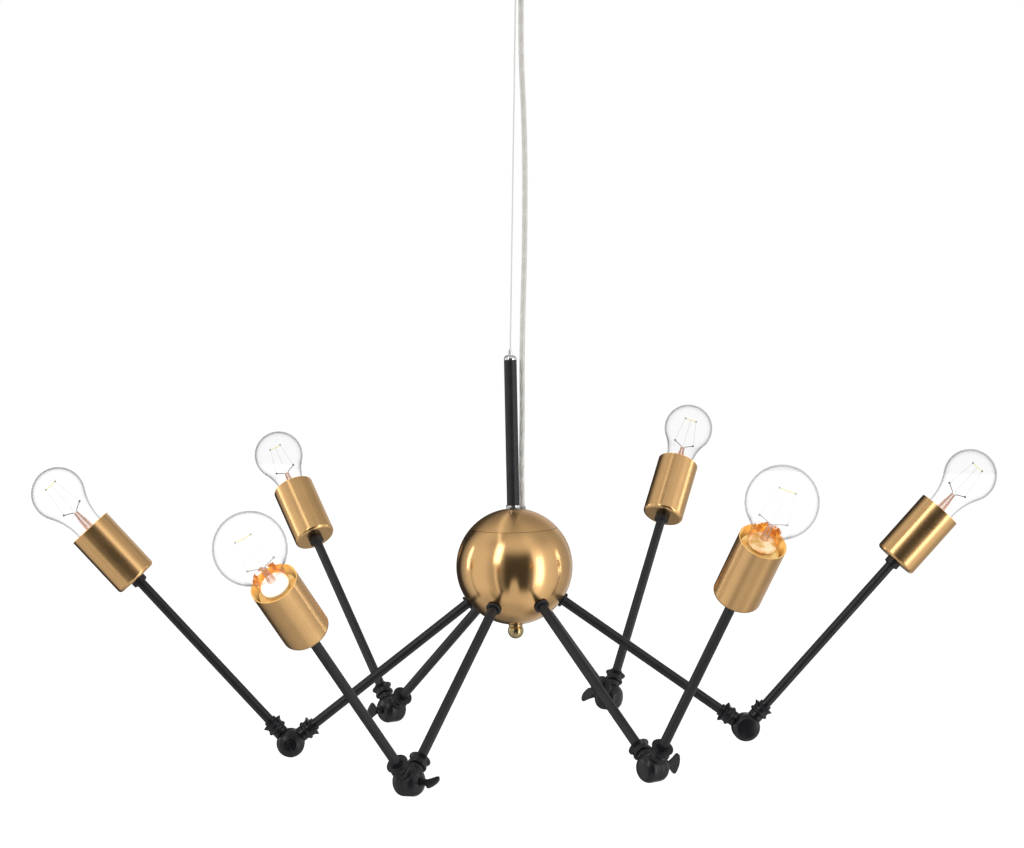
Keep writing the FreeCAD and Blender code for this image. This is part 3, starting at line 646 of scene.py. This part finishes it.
def make_bulb_inside(number, finishes):
    """Glass stem, mount, leads, supports and filament of one bulb, and the glow in a front bulb's neck."""
    place = bulb_place(number)
    scale = FRONT_SCALE if number in FRONT_BULBS else 1.0
    spread = SPREAD * scale
    bar_half = BAR_HALF * scale
    middle = FRONT_GLOBE_MIDDLE if number in FRONT_BULBS else GLOBE_MIDDLE
    bar = middle + BAR_ABOVE_MIDDLE * scale

    def at(along, across):
        return place @ Vector((along, across, 0.0))

    stem_outline = metres(STEM_PROFILE)
    stem_foot = stem_outline[0][1]
    stem_top = stem_outline[-2][1]
    stem = joined("bulb_stem_%d" % number, [lathe(stem_outline, place, 24)])
    stem.data.materials.append(finishes["stem"])
    drop = 0.0 if number in FRONT_BULBS else MOUNT_DROP
    dome = [(radius, height - drop) for radius, height in metres(MOUNT_PROFILE)]
    mount = joined("bulb_mount_%d" % number, [lathe(dome, place, 36)])
    mount.data.materials.append(finishes.get("mount_%d" % number, finishes["mount"]))
    pieces = [(stem, "bulb_glass"), (mount, "bulb_glass")]
    if number in FRONT_BULBS:
        shell = metres(GLOW_PROFILE)
        glow = joined("bulb_glow_%d" % number, [far_half(lathe(shell, place), place)])
        glow.data.materials.append(amber_glow("neck_glow_%d" % number, place, shell[0][1], shell[-1][1]))
        pieces.append((glow, "bulb_glass"))
    leads = []
    beads = []
    support = LEAD_RADIUS * SUPPORT_SHARE
    for side in (-1, 1):
        low = side * LEAD_APART
        end = at(SPREAD_HEIGHT, side * spread)
        hook = at(bar, side * bar_half)
        leads.append(tube_mesh([at(stem_foot, low * LEAD_FLARE), at(stem_top, low),
                                at(stem_top + LEAD_BEND, low * LEAD_FLARE), end], LEAD_RADIUS))
        leads.append(tube_mesh([end, hook], support, 6))
        beads.append(lathe(ball_profile(BEAD_RADIUS), Matrix.Translation(end), 12))
        beads.append(lathe(ball_profile(HOOK_RADIUS), Matrix.Translation(hook), 12))
    leads.append(tube_mesh([at(stem_top - SUPPORT_ROOT, 0), at(bar, 0)], support, 6))
    wires = joined("bulb_leads_%d" % number, leads + beads)
    wires.data.materials.append(finishes["leads_front" if number in FRONT_BULBS else "leads"])
    line = resampled([at(bar, -bar_half), at(bar - BAR_SAG, 0), at(bar, bar_half)], COIL_STEP)
    coil = helix_path(line, COIL_RADIUS, COIL_PITCH, 0.0)
    filament = joined("bulb_filament_%d" % number, [tube_mesh(coil, FILAMENT_RADIUS, 6)])
    filament.data.materials.append(finishes["filament"])
    pieces += [(wires, "base_metal"), (filament, "base_metal")]
    for piece, slot in pieces:
        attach(piece, "bulb_%d" % number)


def make_bulbs():
    finishes = {
        "stem": clear("stem_glass", (0.80, 0.36, 0.18), 1.2, body=0.25, edge_roughness=0.15),
        "mount": glowing("mount_glow", (1.0, 0.93, 0.86), 0.75),
        "mount_6": glowing("mount_glow_amber", (0.92, 0.70, 0.44), 0.36, shade=(0.62, 0.34, 0.08),
                           scale=130.0),
        "leads": metal("lead_wire", (0.30, 0.27, 0.25), 0.4),
        "leads_front": plastic("lead_wire_pale", (0.66, 0.64, 0.58), 0.5),
        "filament": glowing("filament_glow", (0.72, 0.66, 0.26), 0.6),
    }
    for number in ARMS:
        make_bulb_inside(number, finishes)


make_bulbs()


# ---------------------------------------------------------------- light, world and floor

FLOOR_HEIGHT = -5.0            # low enough for a look at the lamp from below
FLOOR_REACH = 60.0
LAMP_MIDDLE = Vector((0.0, 0.0, -0.65))
# Brightness of the studio round about, as reflections see it: share of a turn from the far side, and level.
# The level walls give way to the upper ones high up, and to the lower ones below their edge's height.
LEVEL_WALLS = [
    (0.00, 0.05), (0.12, 0.03), (0.15, 0.36), (0.19, 0.66), (0.25, 0.82), (0.33, 0.82), (0.365, 0.55),
    (0.385, 0.50), (0.394, 1.20), (0.404, 0.42), (0.432, 0.24), (0.452, 0.06), (0.573, 0.06), (0.597, 0.26),
    (0.612, 1.25), (0.66, 1.35), (0.69, 0.92), (0.75, 0.78), (0.80, 0.58), (0.875, 0.42), (0.92, 0.62),
    (0.98, 0.62), (1.00, 0.30),
]
UPPER_WALLS = [
    (0.00, 0.22), (0.12, 0.26), (0.145, 0.40), (0.215, 0.74), (0.28, 0.68), (0.34, 0.48), (0.375, 0.45),
    (0.405, 0.60), (0.45, 0.71), (0.50, 0.72), (0.565, 0.76), (0.611, 0.88), (0.64, 0.80), (0.678, 0.62),
    (0.736, 0.46), (0.80, 0.50), (0.86, 0.36), (1.00, 0.26),
]
LOWER_WALLS = [
    (0.00, 0.22), (0.13, 0.30), (0.194, 0.55), (0.256, 0.47), (0.31, 0.62), (0.338, 0.22), (0.37, 0.62),
    (0.42, 0.72), (0.50, 0.72), (0.597, 0.76), (0.678, 0.86), (0.75, 0.80), (0.79, 0.48), (0.87, 0.22),
    (0.94, 0.50), (1.00, 0.26),
]
LOWER_EDGE = [(0.465, 0.16), (0.488, 0.33), (0.512, 0.33), (0.535, 0.16)]
LOWER_EDGE_SOFT = 0.1
STRIP_SIDE = (-0.888, 0.273, -0.368)     # a strip light overhead lies square to this
STRIP_HALF = 0.07


def area_light(name, azimuth, elevation, distance, width, height, power):
    """A soft box, azimuth 0 at the camera's side and growing to the right."""
    data = bpy.data.lights.new(name, "AREA")
    data.shape = "RECTANGLE"
    data.size = width
    data.size_y = height
    data.energy = power
    light = collection_add(bpy.data.objects.new(name, data))
    a = math.radians(azimuth)
    e = math.radians(elevation)
    way = Vector((math.sin(a) * math.cos(e), -math.cos(a) * math.cos(e), math.sin(e)))
    light.location = LAMP_MIDDLE + way * distance
    light.rotation_mode = "QUATERNION"
    light.rotation_quaternion = way.to_track_quat("Z", "Y")


def make_lights():
    area_light("left_box", -36.0, 29.0, 3.2, 0.75, 2.0, 15.0)
    area_light("right_box", 52.0, -3.0, 3.2, 0.85, 2.8, 17.0)
    area_light("left_back_box", -104.0, 8.0, 3.4, 0.4, 1.6, 6.0)
    area_light("right_back_box", 100.0, 5.0, 3.4, 0.45, 1.6, 6.0)


def make_world():
    """White to the eye and through glass; in reflections, a pale studio that is dark behind the viewer."""
    world = bpy.data.worlds.new("studio")
    bpy.context.scene.world = world
    world.use_nodes = True
    nodes = Nodes(world.node_tree)
    way = nodes.add("ShaderNodeTexCoord").outputs["Generated"]
    parts = nodes.add("ShaderNodeSeparateXYZ", Vector=way)
    azimuth = nodes.math("ARCTAN2", parts.outputs["X"], nodes.math("MULTIPLY", parts.outputs["Y"], -1.0))
    share = nodes.math("ADD", nodes.math("DIVIDE", azimuth, 2 * math.pi), 0.5)
    height = nodes.math("ADD", nodes.math("MULTIPLY", parts.outputs["Z"], 0.5), 0.5)
    upper = nodes.ramp(height, [(0.71, 0.0), (0.84, 1.0)])
    walls = nodes.mix_colour(upper, nodes.ramp(share, LEVEL_WALLS), nodes.ramp(share, UPPER_WALLS))
    edge = nodes.math("ADD", nodes.ramp(share, LOWER_EDGE), LOWER_EDGE_SOFT / 2)
    lower = nodes.math("DIVIDE", nodes.math("SUBTRACT", edge, height), LOWER_EDGE_SOFT, clamp=True)
    walls = nodes.mix_colour(lower, walls, nodes.ramp(share, LOWER_WALLS))
    ends = nodes.ramp(height, [(0.01, 1.0), (0.05, 0.0), (0.93, 0.0), (0.985, 1.0)])
    room = nodes.mix_colour(ends, walls, (0.50, 0.50, 0.50, 1.0))
    aside = nodes.math("ABSOLUTE", nodes.dot(way, STRIP_SIDE))
    near = nodes.math("SUBTRACT", 1.0, nodes.math("DIVIDE", aside, STRIP_HALF), clamp=True)
    near = nodes.math("MULTIPLY", near, nodes.ramp(height, [(0.66, 0.0), (0.78, 1.0)]))
    room = nodes.mix_colour(near, room, (1.5, 1.5, 1.5, 1.0))
    rays = nodes.add("ShaderNodeLightPath")
    white = nodes.math("MAXIMUM", rays.outputs["Is Camera Ray"], rays.outputs["Is Transmission Ray"])
    studio = nodes.add("ShaderNodeBackground", Color=room, Strength=1.0)
    soft = nodes.add("ShaderNodeBackground", Color=(1.0, 1.0, 1.0, 1.0), Strength=0.75)
    plain = nodes.add("ShaderNodeBackground", Color=(1.0, 1.0, 1.0, 1.0), Strength=1.0)
    lit = nodes.mix_shader(rays.outputs["Is Glossy Ray"], soft, studio)
    shown = nodes.mix_shader(white, lit, plain)
    nodes.add("ShaderNodeOutputWorld", Surface=shown.outputs[0])


def make_floor():
    corners = [(-1, -1), (1, -1), (1, 1), (-1, 1)]
    floor = mesh_piece("floor", [(x * FLOOR_REACH, y * FLOOR_REACH, FLOOR_HEIGHT) for x, y in corners],
                       [(0, 1, 2, 3)])
    floor.visible_glossy = False
    made, nodes = material("floor_white")
    rays = nodes.add("ShaderNodeLightPath")
    seen = nodes.math("MAXIMUM", rays.outputs["Is Camera Ray"], rays.outputs["Is Transmission Ray"])
    matte = nodes.add("ShaderNodeBsdfDiffuse", Color=(0.80, 0.80, 0.80, 1.0))
    bright = nodes.add("ShaderNodeEmission", Color=(1.0, 1.0, 1.0, 1.0), Strength=0.50)
    shade = nodes.add("ShaderNodeAddShader")
    nodes.put(shade.inputs[0], matte.outputs[0])
    nodes.put(shade.inputs[1], bright.outputs[0])
    finish_material(nodes, nodes.mix_shader(seen, matte, shade).outputs[0])
    floor.data.materials.append(made)


make_lights()
make_world()
make_floor()
bpy.context.scene.view_settings.view_transform = "Standard"
